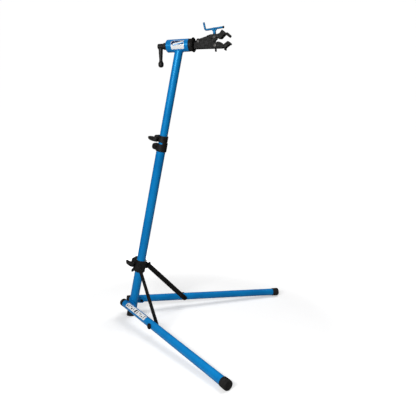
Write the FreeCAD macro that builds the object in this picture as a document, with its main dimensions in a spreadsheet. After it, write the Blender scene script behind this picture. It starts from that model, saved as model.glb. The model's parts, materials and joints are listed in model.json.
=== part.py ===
import FreeCAD, Part
import os
import Sketcher
from math import atan2, cos, pi, radians, sin, tan
from FreeCAD import Placement, Rotation, Vector

# Folding bike repair stand: a leaning telescopic mast on two folding legs, with a screw clamp on top.
# Row frame: +X forward (the way the clamp points), +Y left, +Z up, origin where the mast foot stands.
# Mast frame: X forward, Y left, Z up along the leaning mast. Leg frame: the mast frame turned about the
# mast, so that X runs out along one leg and Y is across it. Head frame: level, centred on the head tube.

doc = FreeCAD.newDocument("RepairStand")
sheet = doc.addObject("Spreadsheet::Sheet", "Dims")

DIMENSIONS = {
    # mast
    "lean_angle": 12.29, "mast_length": 1387.8, "tube_wall": 1.65,
    "lower_tube_od": 44.5, "lower_tube_start": 34, "lower_tube_end": 925,
    "upper_tube_od": 38.1, "upper_tube_start": 600, "glide_length": 40, "sleeve_length": 60,
    "slip": 0.05, "press": 0.02, "foot_od": 49, "foot_plug": 30, "foot_round": 9, "foot_depth": 12,
    # head tube and its bushings
    "head_od": 57, "head_wall": 4, "head_back": 60.5, "head_front": 47.5, "spindle_radius": 14,
    "bush_depth": 18, "front_cap": 14.5, "rear_cap": 3,
    # height collar
    "collar_bottom": 890, "collar_height": 76, "collar_wall": 4.3, "collar_slot": 8, "collar_slot_low": 36,
    "collar_split": 4, "pinch_ear_reach": 46, "pinch_ear_width": 24, "pinch_ear_half": 16,
    "pinch_height": 19, "pinch_bolt_radius": 3, "pinch_bolt_in": 13,
    # quick-release levers and their skewers
    "lever_height": 55, "lever_ear_width": 34, "lever_ear_low": 11, "lever_ear_high": 20,
    "lever_ear_back": 15, "lever_width": 22, "lever_pin": 3, "skewer_radius": 2.5, "skewer_back": 26,
    "cam_out": 11, "eye_radius": 6,
    # legs
    "splay_angle": 35.15, "leg_od": 38, "leg_wall": 1.5, "leg_offset": 45.7, "leg_length": 881,
    "leg_back": 23.5, "leg_base": 66, "leg_rise": 6.682, "leg_pivot_reach": 46, "leg_foot_length": 36,
    "leg_foot_od": 44, "plug_out": 6, "plug_head": 14, "plug_depth": 24, "pivot_radius": 4,
    "washer_radius": 11,
    # bracket that carries the legs
    "bracket_bottom": 59, "bracket_height": 36, "bracket_reach": 64, "bracket_plate": 3.4,
    "bracket_round": 16,
    # braces
    "brace_reach": 283, "brace_width": 26, "brace_plate": 4, "brace_inside": 21.5, "brace_top_reach": 46,
    "brace_span": 297, "brace_bolt_radius": 3, "brace_cap_radius": 14, "brace_cap": 7,
    "channel_half": 7, "channel_depth": 1,
    # leg collar
    "leg_collar_mid": 286.4, "leg_collar_height": 64, "leg_collar_wall": 4.4, "liner_wall": 1.5,
    "leg_ear_width": 38.6, "leg_lever_up": 5, "leg_ear_low": 14, "leg_ear_high": 35, "leg_ear_back": 16,
    "leg_skewer_back": 29, "ear_middle": 19.3, "ear_plate": 4,
    # clamp: its jaws are measured from a datum behind the head centre
    "jaw_datum": -3.5, "pivot_x": 97, "pivot_z": 12, "jaw_pin_radius": 4, "saddle_x": 172.1, "saddle_z": 27,
    "nut_x": 175.3, "nut_z": -9, "jaw_width": 27, "tongue_width": 15, "cheek_gap": 16, "pad_width": 32,
    "screw_radius": 4.5, "screw_tail": 26, "rod_radius": 4.5, "trunnion_radius": 6, "rod_up": 37.5,
    "rod_end": 41, "flange_start": 62.5, "flange_end": 72, "stub_radius": 8, "stub_end": 78.5,
    # locking lever behind the head tube
    "lock_back": 109.5, "lock_front": 67, "lock_shoulder": 81, "lock_hub_radius": 15.5,
    "lock_end_radius": 12.8, "lock_arm_back": 97, "lock_arm_drop": 94, "insert_radius": 10,
    "insert_end": 92, "stud_radius": 6,
}

# Cutting depths that pass right through whatever they cut.
THROUGH = "200"
# Half a hexagon nut's or socket's width across flats.
NUT_HALF = "5"


def fill_sheet():
    for row, (alias, value) in enumerate(DIMENSIONS.items(), start=1):
        sheet.set(f"A{row}", alias)
        sheet.set(f"B{row}", str(value))
        sheet.setAlias(f"B{row}", alias)
    doc.recompute()


def num(text):
    """The number that a sheet expression gives."""
    return float(sheet.evalExpression(str(text)))


fill_sheet()
parts = {}


# ---------------------------------------------------------------- sketches and features

def new_body(name):
    item = doc.addObject("PartDesign::Body", name)
    item.Label = name
    parts[name] = item
    return item


def new_sketch(body, role="XY_Plane", shift=("0", "0", "0"), axis=(0, 0, 1), turn="0"):
    item = body.newObject("Sketcher::SketchObject", body.Name + "_sketch")
    plane = next(each for each in body.Origin.OriginFeatures if each.Role == role)
    item.AttachmentSupport = [(plane, "")]
    item.MapMode = "FlatFace"
    place = Vector(*[num(each) for each in shift])
    item.AttachmentOffset = Placement(place, Rotation(Vector(*axis), num(turn)))
    for letter, text in zip("xyz", shift):
        item.setExpression("AttachmentOffset.Base." + letter, "1mm * (" + text + ")")
    if turn != "0":
        item.setExpression("AttachmentOffset.Rotation.Angle", "1deg * (" + turn + ")")
    return item


def bind(item, kind, places, text):
    index = item.addConstraint(Sketcher.Constraint(kind, *places, num(text)))
    item.setExpression(f"Constraints[{index}]", str(text))


def circle(item, across, up, radius):
    index = item.addGeometry(Part.Circle(Vector(num(across), num(up), 0), Vector(0, 0, 1), num(radius)))
    bind(item, "DistanceX", (-1, 1, index, 3), across)
    bind(item, "DistanceY", (-1, 1, index, 3), up)
    bind(item, "Radius", (index,), radius)


def outline(item, corners, closed=True):
    """An outline through (across, up) corners; (across, up, radius) rounds that corner."""
    spots = [Vector(num(each[0]), num(each[1]), 0) for each in corners]
    count = len(spots)
    ends = []
    arcs = {}
    for place, spot in enumerate(spots):
        back = (spots[place - 1] - spot).normalize()
        ahead = (spots[(place + 1) % count] - spot).normalize()
        if len(corners[place]) == 2:
            ends.append((spot, spot))
            continue
        radius = num(corners[place][2])
        half = back.getAngle(ahead) / 2
        reach = radius / tan(half)
        centre = spot + (back + ahead).normalize() * (radius / sin(half))
        start, end = spot + back * reach, spot + ahead * reach
        ends.append((start, end))
        clockwise = (spot - start).cross(end - spot).z < 0
        first, last = (end, start) if clockwise else (start, end)
        angles = [atan2((each - centre).y, (each - centre).x) for each in (first, last)]
        if angles[1] < angles[0]:
            angles[1] += 2 * pi
        arcs[place] = (Part.ArcOfCircle(Part.Circle(centre, Vector(0, 0, 1), radius), *angles), clockwise)
    sides = count if closed else count - 1
    lines = [item.addGeometry(Part.LineSegment(ends[place][1], ends[(place + 1) % count][0]))
             for place in range(sides)]
    for place in range(count):
        if not closed and place in (0, sides):
            line, end = (lines[0], 1) if place == 0 else (lines[-1], 2)
            bind(item, "DistanceX", (-1, 1, line, end), corners[place][0])
            bind(item, "DistanceY", (-1, 1, line, end), corners[place][1])
            continue
        before, after = lines[place - 1], lines[place]
        if place not in arcs:
            item.addConstraint(Sketcher.Constraint("Coincident", before, 2, after, 1))
            bind(item, "DistanceX", (-1, 1, after, 1), corners[place][0])
            bind(item, "DistanceY", (-1, 1, after, 1), corners[place][1])
            continue
        curve, clockwise = arcs[place]
        arc = item.addGeometry(curve)
        tip = item.addGeometry(Part.Point(spots[place]), True)
        bind(item, "DistanceX", (-1, 1, tip, 1), corners[place][0])
        bind(item, "DistanceY", (-1, 1, tip, 1), corners[place][1])
        near, far = (2, 1) if clockwise else (1, 2)
        item.addConstraint(Sketcher.Constraint("Tangent", before, 2, arc, near))
        item.addConstraint(Sketcher.Constraint("Tangent", arc, far, after, 1))
        item.addConstraint(Sketcher.Constraint("PointOnObject", tip, 1, before))
        item.addConstraint(Sketcher.Constraint("PointOnObject", tip, 1, after))
        bind(item, "Radius", (arc,), corners[place][2])


def rectangle(item, left, low, right, high):
    outline(item, [(left, low), (right, low), (right, high), (left, high)])


def settle(body, feature, sign):
    """Recompute, and stop if the feature added or removed nothing."""
    before = body.Shape.Volume if not body.Shape.isNull() else 0.0
    doc.recompute()
    change = body.Shape.Volume - before
    if change * sign <= 1e-3:
        raise RuntimeError(f"{body.Label}: {feature.Name} changed the volume by {change:.3f}")
    return feature


def pad(body, item, length, middle=False, back=False):
    feature = body.newObject("PartDesign::Pad", body.Name + "_pad")
    feature.Profile = item
    feature.setExpression("Length", length)
    feature.SideType = "Symmetric" if middle else "One side"
    feature.Reversed = back
    return settle(body, feature, 1)


def pocket(body, item, length, middle=False, back=False):
    feature = body.newObject("PartDesign::Pocket", body.Name + "_pocket")
    feature.Profile = item
    feature.setExpression("Length", length)
    feature.SideType = "Symmetric" if middle else "One side"
    feature.Reversed = back
    return settle(body, feature, -1)


def revolve(body, item, about="V_Axis"):
    feature = body.newObject("PartDesign::Revolution", body.Name + "_turn")
    feature.Profile = item
    feature.ReferenceAxis = (item, [about])
    feature.Angle = 360
    return settle(body, feature, 1)


def polar(body, feature, count, axis_role="Z_Axis"):
    pattern = body.newObject("PartDesign::PolarPattern", body.Name + "_polar")
    pattern.Originals = [feature]
    axis = next(each for each in body.Origin.OriginFeatures if each.Role == axis_role)
    pattern.Axis = (axis, [""])
    pattern.Angle = 360
    pattern.Occurrences = count
    body.Tip = pattern
    doc.recompute()
    return pattern


def soften(body, radius, keep, kind="Fillet"):
    """Round or chamfer the edges of the body that the test keeps."""
    tip = body.Tip
    names = [f"Edge{place}" for place, edge in enumerate(tip.Shape.Edges, start=1) if keep(edge)]
    if not names:
        raise RuntimeError(f"{body.Label}: no edge to round")
    feature = body.newObject("PartDesign::" + kind, body.Name + "_" + kind.lower())
    feature.Base = (tip, names)
    feature.setExpression("Radius" if kind == "Fillet" else "Size", str(radius))
    doc.recompute()
    return feature


def is_circle(radius, height=None, axis="z"):
    """A test for full circular edges of one radius, and at one height along an axis if given."""
    def test(edge):
        if not isinstance(edge.Curve, Part.Circle) or abs(edge.Curve.Radius - num(radius)) > 1e-3:
            return False
        return height is None or abs(getattr(edge.Curve.Center, axis) - num(height)) < 1e-3
    return test


def turned(name, profile, place):
    """A turned piece: (radius, height) corners revolved about its own Z axis."""
    body = new_body(name)
    item = new_sketch(body, "XZ_Plane")
    outline(item, profile)
    revolve(body, item)
    body.Placement = place
    return body


def tube(name, diameter, wall, length, place):
    body = new_body(name)
    item = new_sketch(body)
    circle(item, "0", "0", f"({diameter}) / 2")
    circle(item, "0", "0", f"({diameter}) / 2 - ({wall})")
    pad(body, item, length)
    body.Placement = place
    return body


def side_plate(body, corners, width):
    """Pad a side outline (forward, up) to a width centred on the middle plane."""
    item = new_sketch(body, "XZ_Plane")
    outline(item, corners)
    return pad(body, item, width, middle=True)


def cross_hole(body, across, up, radius):
    """A hole from side to side, right through."""
    hole = new_sketch(body, "XZ_Plane")
    circle(hole, across, up, radius)
    pocket(body, hole, THROUGH, middle=True)


# ---------------------------------------------------------------- frames

MAST = Placement(Vector(), Rotation(Vector(0, 1, 0), num("Dims.lean_angle")))
HEAD_CENTRE = MAST.multVec(Vector(0, 0, num("Dims.mast_length")))
HEAD = Placement(HEAD_CENTRE, Rotation())
JAWS = Placement(HEAD_CENTRE + Vector(num("Dims.jaw_datum"), 0, 0), Rotation())
SIDES = {"left": 1, "right": -1}


def shifted(frame, x="0", y="0", z="0"):
    return frame.multiply(Placement(Vector(num(x), num(y), num(z)), Rotation()))


def aimed(frame, spot, direction, across=Vector(0, 1, 0)):
    """A frame at a spot whose Z axis points along a direction, both given in another frame."""
    z_axis = Vector(direction).normalize()
    x_axis = across.cross(z_axis)
    if x_axis.Length < 1e-6:
        x_axis = Vector(1, 0, 0)
    turn = Rotation(x_axis.normalize(), Vector(), z_axis, "ZXY")
    return frame.multiply(Placement(Vector(*[num(each) for each in spot]), turn))


def leg_frame(side):
    return MAST.multiply(Placement(Vector(), Rotation(Vector(0, 0, 1), side * num("Dims.splay_angle"))))


# ---------------------------------------------------------------- mast

def lower_tube():
    tube("lower_tube", "Dims.lower_tube_od", "Dims.tube_wall", "Dims.lower_tube_end - Dims.lower_tube_start",
         shifted(MAST, z="Dims.lower_tube_start"))


def mast_foot():
    """Rubber plug in the tube's lower end, flattened where it stands on the ground."""
    bore = "Dims.lower_tube_od / 2 - Dims.tube_wall - Dims.slip"
    rim, top = "Dims.lower_tube_start", "Dims.lower_tube_start + Dims.foot_plug"
    body = turned("mast_foot", [
        ("0", "-Dims.foot_depth"), ("Dims.foot_od / 2", "-Dims.foot_depth", "Dims.foot_round"),
        ("Dims.foot_od / 2", rim, "2"), (bore, rim), (bore, top, "2"), ("0", top),
    ], MAST)
    item = new_sketch(body, "XZ_Plane")
    half = "2 * Dims.foot_od"
    slope = f"{half} * tan(Dims.lean_angle)"
    deep = "-2 * Dims.foot_od"
    outline(item, [(f"-{half}", f"-{slope}"), (f"-{half}", f"{deep} - {slope}"), (half, deep), (half, slope)])
    pocket(body, item, THROUGH, middle=True)


def leg_bracket():
    """Folded plate welded round the back of the mast, with an ear along each leg."""
    body = new_body("leg_bracket")
    item = new_sketch(body)
    inner = "(Dims.lower_tube_od / 2 + Dims.slip)"
    outer = "(Dims.lower_tube_od / 2 + Dims.slip + Dims.bracket_plate)"

    def ear_end(side, offset):
        forward = f"Dims.bracket_reach * cos(Dims.splay_angle) - {offset} * sin(Dims.splay_angle)"
        sideways = f"Dims.bracket_reach * sin(Dims.splay_angle) + {offset} * cos(Dims.splay_angle)"
        return (forward, f"{side} * ({sideways})")

    outline(item, [
        ear_end(1, outer), (f"-{outer} / sin(Dims.splay_angle)", "0", outer), ear_end(-1, outer),
        ear_end(-1, inner), (f"-{inner} / sin(Dims.splay_angle)", "0", inner), ear_end(1, inner),
    ])
    pad(body, item, "Dims.bracket_height")
    pivot_up = f"{leg_height('Dims.leg_pivot_reach')} - Dims.bracket_bottom"

    def at_ear_corner(edge):
        level = edge.BoundBox.ZLength < 1e-3
        return level and edge.Length < num("Dims.bracket_plate + 1") and edge.BoundBox.XMin > 0

    soften(body, "Dims.bracket_round", at_ear_corner)
    for side in SIDES.values():
        hole = new_sketch(body, "XZ_Plane", axis=(0, 1, 0), turn=f"{side} * Dims.splay_angle")
        circle(hole, "Dims.leg_pivot_reach", pivot_up, "Dims.pivot_radius + Dims.slip")
        pocket(body, hole, THROUGH, middle=True)
    body.Placement = shifted(MAST, z="Dims.bracket_bottom")


def top_sleeve():
    """Plastic guide in the lower tube's mouth."""
    tube("top_sleeve", "Dims.lower_tube_od - 2 * Dims.tube_wall - 0.06",
         "(Dims.lower_tube_od - Dims.upper_tube_od) / 2 - Dims.tube_wall - 0.03 - Dims.slip",
         "Dims.sleeve_length", shifted(MAST, z="Dims.lower_tube_end - Dims.sleeve_length"))


def upper_tube():
    """Sliding tube, coped at the top to sit under the head tube."""
    body = tube("upper_tube", "Dims.upper_tube_od", "Dims.tube_wall",
                "Dims.mast_length - Dims.upper_tube_start", shifted(MAST, z="Dims.upper_tube_start"))
    item = new_sketch(body, shift=("0", "0", "Dims.mast_length - Dims.upper_tube_start"), axis=(0, 1, 0),
                      turn="90 - Dims.lean_angle")
    circle(item, "0", "0", "Dims.head_od / 2")
    pocket(body, item, THROUGH, middle=True)


def tube_glide():
    tube("tube_glide", "Dims.lower_tube_od - 2 * Dims.tube_wall - 2 * Dims.slip",
         "(Dims.lower_tube_od - Dims.upper_tube_od) / 2 - Dims.tube_wall - Dims.slip - 0.02",
         "Dims.glide_length", shifted(MAST, z="Dims.upper_tube_start + 2"))


def head_tube():
    body = tube("head_tube", "Dims.head_od", "Dims.head_wall", "Dims.head_back + Dims.head_front",
                aimed(HEAD, ("-Dims.head_back", "0", "0"), Vector(1, 0, 0)))
    soften(body, 1.5, is_circle("Dims.head_od / 2"))


def head_bushings():
    """Flanged plastic bushings in both ends of the head tube; the front one shows as a black cap."""
    sleeve = "Dims.head_od / 2 - Dims.head_wall - 0.03"
    bore = "Dims.spindle_radius + Dims.slip"
    for name, spot, out, cap, rim in (("front_bushing", "Dims.head_front", 1, "Dims.front_cap", "0.7"),
                                      ("rear_bushing", "-Dims.head_back", -1, "Dims.rear_cap", "3")):
        edge = f"Dims.head_od / 2 - {rim}"
        turned(name, [
            (bore, "-Dims.bush_depth"), (sleeve, "-Dims.bush_depth"), (sleeve, "0"), (edge, "0"),
            (edge, cap, "1"), (bore, cap),
        ], aimed(HEAD, (spot, "0", "0"), Vector(out, 0, 0)))


# ---------------------------------------------------------------- collars and their quick-release levers

def height_collar():
    """Two-zone collar: the lower zone grips the lower tube, the upper zone pinches the upper tube."""
    body = new_body("height_collar")
    ring = new_sketch(body)
    outer = "Dims.lower_tube_od / 2 + Dims.collar_wall"
    circle(ring, "0", "0", outer)
    pad(body, ring, "Dims.collar_slot_low + Dims.collar_slot")
    neck = new_sketch(body)
    neck_outer = "Dims.upper_tube_od / 2 + Dims.collar_wall + 0.4"
    circle(neck, "0", "0", neck_outer)
    pad(body, neck, "Dims.collar_height")
    top = "Dims.collar_height"
    soften(body, 1.5, lambda edge: is_circle(outer)(edge) or is_circle(neck_outer, top)(edge))
    front = "-Dims.upper_tube_od / 2 - 2"
    back = "-Dims.pinch_ear_reach"
    low, high = "Dims.pinch_height - Dims.pinch_ear_half", "Dims.pinch_height + Dims.pinch_ear_half"
    side_plate(body, [(back, low, "13"), (front, low), (front, high), (back, high, "13")],
               "Dims.pinch_ear_width")
    back = "-Dims.skewer_back - Dims.lever_ear_back"
    low, high = "Dims.lever_height - Dims.lever_ear_low", "Dims.lever_height + Dims.lever_ear_high"
    side_plate(body, [(back, low, "9"), (front, low), (front, high), (back, high, "10")],
               "Dims.lever_ear_width")
    lower_bore = new_sketch(body)
    circle(lower_bore, "0", "0", "Dims.lower_tube_od / 2 + 0.03")
    pocket(body, lower_bore, "Dims.lower_tube_end - Dims.collar_bottom + 0.5", back=True)
    upper_bore = new_sketch(body)
    circle(upper_bore, "0", "0", "Dims.upper_tube_od / 2 + Dims.slip")
    pocket(body, upper_bore, "Dims.collar_height", back=True)
    slot = new_sketch(body, "XZ_Plane")
    rectangle(slot, f"-{THROUGH}", "Dims.collar_slot_low", "10", "Dims.collar_slot_low + Dims.collar_slot")
    pocket(body, slot, THROUGH, middle=True)
    split_back(body, "-1", "Dims.collar_height + 1")
    cross_hole(body, "-Dims.pinch_ear_reach + Dims.pinch_bolt_in", "Dims.pinch_height",
               "Dims.pinch_bolt_radius + 0.1")
    cross_hole(body, "-Dims.skewer_back", "Dims.lever_height", "Dims.skewer_radius + 0.1")
    body.Placement = shifted(MAST, z="Dims.collar_bottom")


def split_back(body, low, high):
    """The slit up the back of a collar, which the skewer or bolt pulls shut."""
    item = new_sketch(body, "YZ_Plane")
    rectangle(item, "-Dims.collar_split / 2", low, "Dims.collar_split / 2", high)
    pocket(body, item, THROUGH, back=False)


def pinch_bolt():
    """Socket-head bolt and nut through the height collar's lower ears."""
    back, up = "-Dims.pinch_ear_reach + Dims.pinch_bolt_in", "Dims.collar_bottom + Dims.pinch_height"
    body = turned("pinch_bolt", [
        ("0", "-4"), ("8", "-4", "1.5"), ("8", "-0.02"), ("Dims.pinch_bolt_radius", "-0.02"),
        ("Dims.pinch_bolt_radius", "Dims.pinch_ear_width + 6"), ("0", "Dims.pinch_ear_width + 6"),
    ], aimed(MAST, (back, "-Dims.pinch_ear_width / 2", up), Vector(0, 1, 0), Vector(0, 0, 1)))
    socket = new_sketch(body, shift=("0", "0", "-4"))
    hexagon(socket, "3")
    pocket(body, socket, "3", back=True)
    nut = new_body("pinch_nut")
    item = new_sketch(nut)
    hexagon(item, NUT_HALF)
    circle(item, "0", "0", "Dims.pinch_bolt_radius + Dims.press")
    pad(nut, item, "5")
    nut.Placement = aimed(MAST, (back, "Dims.pinch_ear_width / 2 + Dims.press", up), Vector(0, 1, 0),
                          Vector(0, 0, 1))


def hexagon(item, flat):
    """Hexagon about the sketch origin; flat is half the distance across flats."""
    corners = []
    for place in range(6):
        angle = 60 * place
        corners.append((f"({flat}) / cos(30) * cos({angle})", f"({flat}) / cos(30) * sin({angle})"))
    outline(item, corners)


def skewer_set(prefix, frame, width):
    """Skewer with an eye at the lever's end, and its acorn nut; the frame is centred between the ears."""
    eye = f"-({width}) / 2 - Dims.cam_out"
    body = turned(prefix + "_skewer", [
        ("0", eye), ("Dims.skewer_radius", eye), ("Dims.skewer_radius", f"({width}) / 2 + 5"),
        ("0", f"({width}) / 2 + 5"),
    ], aimed(frame, ("0", "0", "0"), Vector(0, 1, 0), Vector(0, 0, 1)))
    ring = new_sketch(body, "XZ_Plane")
    circle(ring, "0", eye, "Dims.eye_radius")
    pad(body, ring, "Dims.eye_radius", middle=True)
    cross_hole(body, "0", eye, "Dims.lever_pin + Dims.slip")
    bore = "Dims.skewer_radius + Dims.press"
    turned(prefix + "_skewer_nut", [
        (bore, "0.02"), ("8", "0.02"), ("8", "3"), ("6", "5"), ("6", "8", "2"), ("0", "8"), ("0", "5.2"),
        (bore, "5.2"),
    ], aimed(frame, ("0", f"({width}) / 2", "0"), Vector(0, 1, 0), Vector(0, 0, 1)))


def lever_set(prefix, frame, width):
    """Cam lever and its cross pin, closed: the blade wraps back behind the collar."""
    body = new_body(prefix + "_lever")
    hub = new_sketch(body)
    circle(hub, "0", "0", "Dims.cam_out - 0.3")
    pad(body, hub, "Dims.lever_width", middle=True)
    blade = new_sketch(body)
    outline(blade, [("4", "-10.4"), ("-12", "-10.4", "20"), ("-36", "-1", "30"), ("-49", "17", "12"),
                    ("-50", "24", "2"), ("-45", "23", "3"), ("-29", "8", "30"), ("-9", "3", "8"), ("4", "0")])
    pad(body, blade, "Dims.lever_width", middle=True)
    for flip in ("", "-"):
        leaf = new_sketch(body, "XZ_Plane")
        outline(leaf, [("-56", f"{flip}0.5"), ("-48", f"{flip}4", "8"), ("-32", f"{flip}9", "30"),
                       ("-14", f"{flip}11", "40"), ("0", f"{flip}11"), ("0", f"{flip}20"),
                       ("-56", f"{flip}20")])
        pocket(body, leaf, THROUGH, middle=True)
    slot = new_sketch(body)
    rectangle(slot, "-7", "-7.5", "25", "25")
    pocket(body, slot, "Dims.eye_radius + 0.6", middle=True)
    hole = new_sketch(body)
    circle(hole, "0", "0", "Dims.lever_pin + Dims.press")
    pocket(body, hole, THROUGH, middle=True)
    body.Placement = shifted(frame, y=f"-({width}) / 2 - Dims.cam_out")
    end = "Dims.lever_width / 2 - 0.1"
    radius = "Dims.lever_pin"
    turned(prefix + "_lever_pin", [("0", f"-({end})"), (radius, f"-({end})", "0.5"), (radius, end, "0.5"),
                                   ("0", end)], body.Placement)


def ear_plane(body, side):
    """A sketch on the middle plane of the collar ear that carries one brace."""
    shift = ("-Dims.ear_middle * sin(Dims.splay_angle)", "0",
             f"{-side} * Dims.ear_middle * cos(Dims.splay_angle)")
    return new_sketch(body, "XZ_Plane", shift=shift, axis=(0, 1, 0), turn=f"{side} * Dims.splay_angle")


def leg_collar():
    """Sliding collar that carries the tops of both braces."""
    body = new_body("leg_collar")
    ring = new_sketch(body, shift=("0", "0", "-Dims.leg_collar_height / 2"))
    bore = "Dims.lower_tube_od / 2 + Dims.slip + Dims.liner_wall + 0.03"
    outer = f"{bore} + Dims.leg_collar_wall"
    circle(ring, "0", "0", outer)
    pad(body, ring, "Dims.leg_collar_height")
    soften(body, 2, is_circle(outer))
    back = "-Dims.leg_skewer_back - Dims.leg_ear_back"
    side_plate(body, [(back, "-Dims.leg_ear_low", "12"), ("-20", "-Dims.leg_ear_low"),
                      ("-20", "Dims.leg_ear_high"), (back, "Dims.leg_ear_high", "10")], "Dims.leg_ear_width")
    side_plate(body, [("-40", "-47", "3"), ("-31", "-45", "3"), ("-25", "-32"), ("-20", "-12"),
                      ("-33", "-20"), ("-41", "-36", "3")], "20")
    top_up = brace_top_height()
    for side in SIDES.values():
        plate = ear_plane(body, side)
        corners = [("14", -20), ("36", -17, "8"), ("58", -12, "11"), ("59", 8, "8"), ("53", 24, "2"),
                   ("44", 14, "6"), ("28", 24, "12"), ("14", 26)]
        outline(plate, [(across, f"{top_up} + {rise}", *radius) for across, rise, *radius in corners])
        pad(body, plate, "Dims.ear_plate", middle=True)
    inside = new_sketch(body, shift=("0", "0", "-Dims.leg_collar_height"))
    circle(inside, "0", "0", bore)
    pocket(body, inside, "2 * Dims.leg_collar_height", back=True)
    split_back(body, "-Dims.leg_collar_height", "Dims.leg_collar_height")
    cross_hole(body, "-Dims.leg_skewer_back", "Dims.leg_lever_up", "Dims.skewer_radius + 0.1")
    for side in SIDES.values():
        hole = ear_plane(body, side)
        circle(hole, "Dims.brace_top_reach", top_up, "Dims.brace_bolt_radius + 0.1")
        pocket(body, hole, "2 * Dims.ear_plate", middle=True)
    body.Placement = shifted(MAST, z="Dims.leg_collar_mid")


def collar_liner():
    low = "Dims.leg_collar_mid - Dims.leg_collar_height / 2 + 1"
    tube("collar_liner", "Dims.lower_tube_od + 2 * Dims.slip + 2 * Dims.liner_wall", "Dims.liner_wall",
         "Dims.leg_collar_height - 2", shifted(MAST, z=low))


# ---------------------------------------------------------------- legs and braces

def leg_height(reach):
    """Height of the leg's axis up the mast at a reach along the leg plane."""
    return f"(Dims.leg_base + (Dims.leg_back + ({reach})) * tan(Dims.leg_rise))"


def brace_top_height():
    """Height of the brace's upper pivot above the leg collar's middle."""
    run = "(Dims.brace_reach - Dims.brace_top_reach)"
    drop = f"sqrt(Dims.brace_span ^ 2 - {run} ^ 2)"
    return f"({leg_height('Dims.brace_reach')} + {drop} - Dims.leg_collar_mid)"


def leg(side_name, side):
    frame = leg_frame(side)
    offset = f"{side} * Dims.leg_offset"
    rise = radians(num("Dims.leg_rise"))
    along = Vector(cos(rise), 0, sin(rise))
    rear = ("-Dims.leg_back", offset, "Dims.leg_base")
    place = aimed(frame, rear, along)
    tube_start, tube_end = "(Dims.plug_head - Dims.plug_out)", "Dims.leg_length - 6"
    body = tube(side_name + "_leg_tube", "Dims.leg_od", "Dims.leg_wall", f"{tube_end} - {tube_start}",
                place.multiply(Placement(Vector(0, 0, num(tube_start)), Rotation())))
    for reach, radius in (("Dims.leg_pivot_reach", "Dims.pivot_radius"),
                          ("Dims.brace_reach", "Dims.brace_bolt_radius")):
        along = f"(Dims.leg_back + {reach}) / cos(Dims.leg_rise) - {tube_start}"
        cross_hole(body, "0", along, f"{radius} + 0.08")
    plug, cap = "Dims.leg_od / 2 - Dims.leg_wall - Dims.slip", "Dims.leg_od / 2 + 0.8"
    turned(side_name + "_rear_plug", [
        ("0", "-Dims.plug_out"), (cap, "-Dims.plug_out", "5"), (cap, tube_start), (plug, tube_start),
        (plug, "Dims.plug_depth", "1"), ("0", "Dims.plug_depth"),
    ], place)
    mouth, seat = "Dims.leg_length - Dims.leg_foot_length", "Dims.leg_length - 5.9"
    bore = "Dims.leg_od / 2 + Dims.slip"
    turned(side_name + "_leg_foot", [
        ("0", seat), (bore, seat), (bore, mouth), ("Dims.leg_foot_od / 2 - 1", mouth, "1"),
        ("Dims.leg_foot_od / 2", "Dims.leg_length", "5"), ("0", "Dims.leg_length"),
    ], place)
    outward = Vector(0, side, 0)
    up = leg_height("Dims.leg_pivot_reach")
    bracket_inner = "Dims.lower_tube_od / 2 + 0.03"
    end = "Dims.leg_offset + Dims.leg_od / 2 - Dims.leg_wall - Dims.lower_tube_od / 2 - 2"
    head = turned(side_name + "_leg_pivot_bolt", [
        ("0", "-6"), ("7", "-6", "1"), ("7", "0"), ("Dims.pivot_radius", "0"), ("Dims.pivot_radius", end),
        ("0", end),
    ], aimed(frame, ("Dims.leg_pivot_reach", f"{side} * ({bracket_inner})", up), outward, Vector(0, 0, 1)))
    socket = new_sketch(head, shift=("0", "0", "-6"))
    hexagon(socket, "3")
    pocket(head, socket, "4", back=True)
    washer_spot = ("Dims.leg_pivot_reach", f"{side} * ({bracket_inner} + Dims.bracket_plate + 0.06)", up)
    hole = "Dims.pivot_radius + Dims.slip"
    turned(side_name + "_leg_washer", [
        (hole, "0"), ("Dims.washer_radius", "0"), ("Dims.washer_radius", "0.85"), (hole, "0.85"),
    ], aimed(frame, washer_spot, outward, Vector(0, 0, 1)))


def ear_nuts():
    """Nuts on the inside of the collar's two brace ears, under the braces' upper pivots."""
    shapes = []
    for side in SIDES.values():
        spot = ("Dims.brace_top_reach", f"{side} * (Dims.ear_middle - 2.05)",
                f"{brace_top_height()} + Dims.leg_collar_mid")
        place = aimed(leg_frame(side), spot, Vector(0, -side, 0), Vector(0, 0, 1))
        stud = Part.makeCylinder(num("Dims.brace_bolt_radius"), 4, Vector(0, 0, -3.5))
        nut = Part.makeCylinder(6, 4.5).fuse(stud)
        nut = nut.makeFillet(0.8, [edge for edge in nut.Edges if is_circle("6", "4.5")(edge)])
        nut.Placement = place
        shapes.append(nut)
    item = doc.addObject("Part::Feature", "ear_nuts")
    item.Label = "ear_nuts"
    item.Shape = Part.makeCompound(shapes)
    parts["ear_nuts"] = item


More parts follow.
